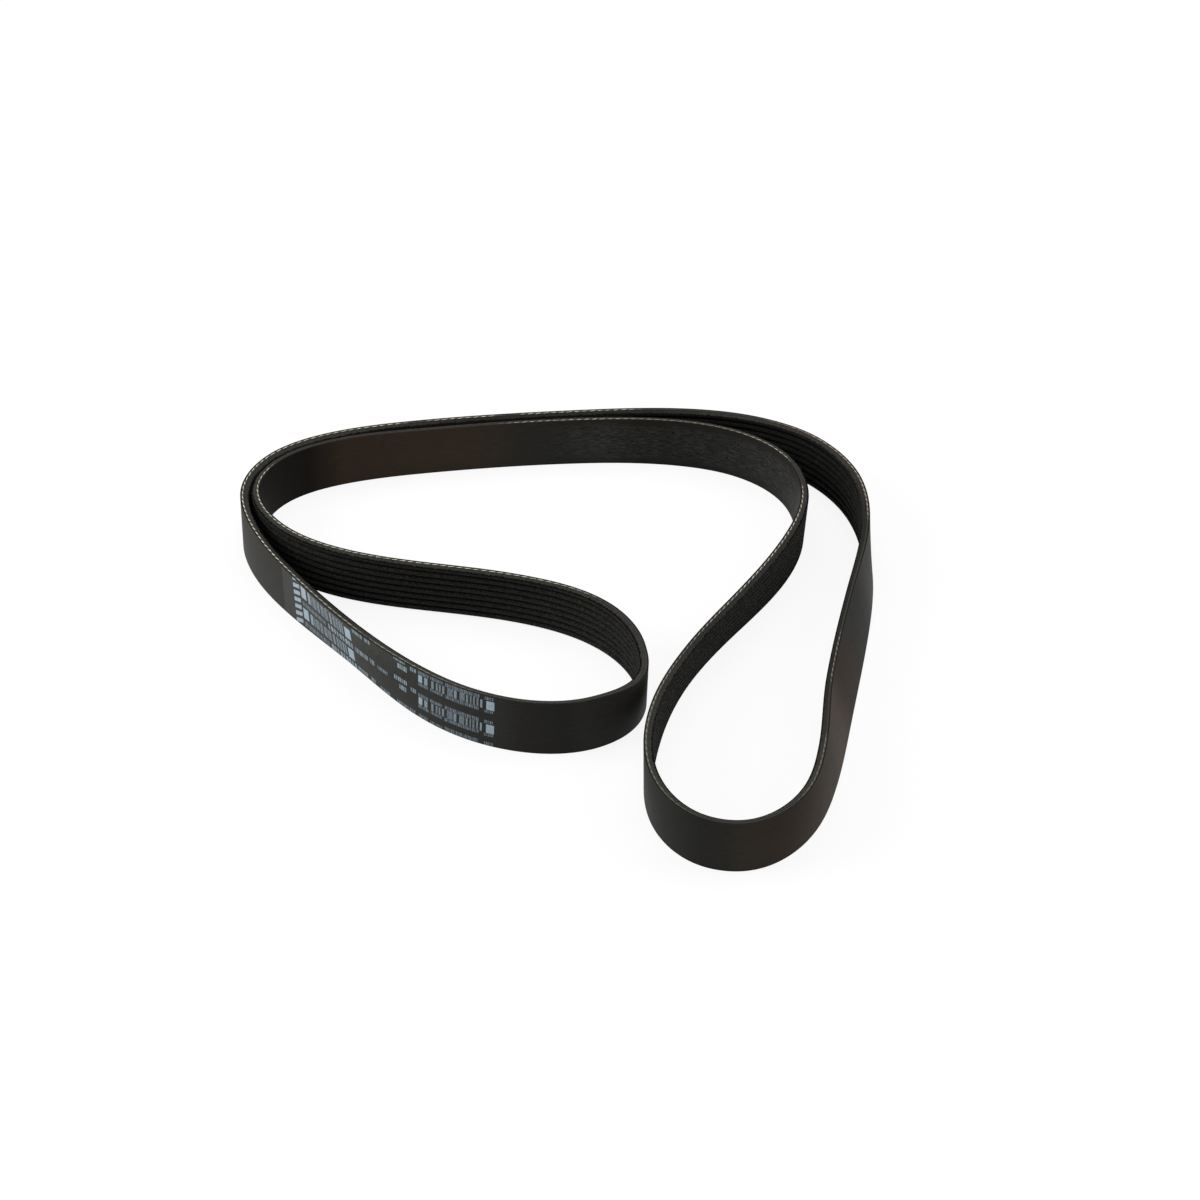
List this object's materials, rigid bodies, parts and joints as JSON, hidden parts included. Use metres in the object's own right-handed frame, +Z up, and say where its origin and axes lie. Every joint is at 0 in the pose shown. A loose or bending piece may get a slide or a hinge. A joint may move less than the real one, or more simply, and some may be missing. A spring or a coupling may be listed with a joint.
{
  "type": "serpentine belt",
  "caption": "Endless ribbed rubber drive belt for a car engine, standing on its cut edge in a loose two-lobed loop, with tension cord showing at both cut edges.",
  "frame": {"origin": "middle of the belt's footprint on the surface that it stands on", "axes": "+Z up, across the belt's width; +Y from the two lobes towards the long back run; +X from the left lobe towards the right one"},
  "size_m": [0.327, 0.3398, 0.0286],
  "materials": {
    "belt_rubber": "matt moulded back, cut edges and ribs",
    "tension_cord": "twisted polyester cord, sliced along the cut edge"
  },
  "bodies": {
    "root": {"belt": "belt_rubber", "edge_cord_lower": "tension_cord", "edge_cord_upper": "tension_cord"}
  },
  "joints": []
}
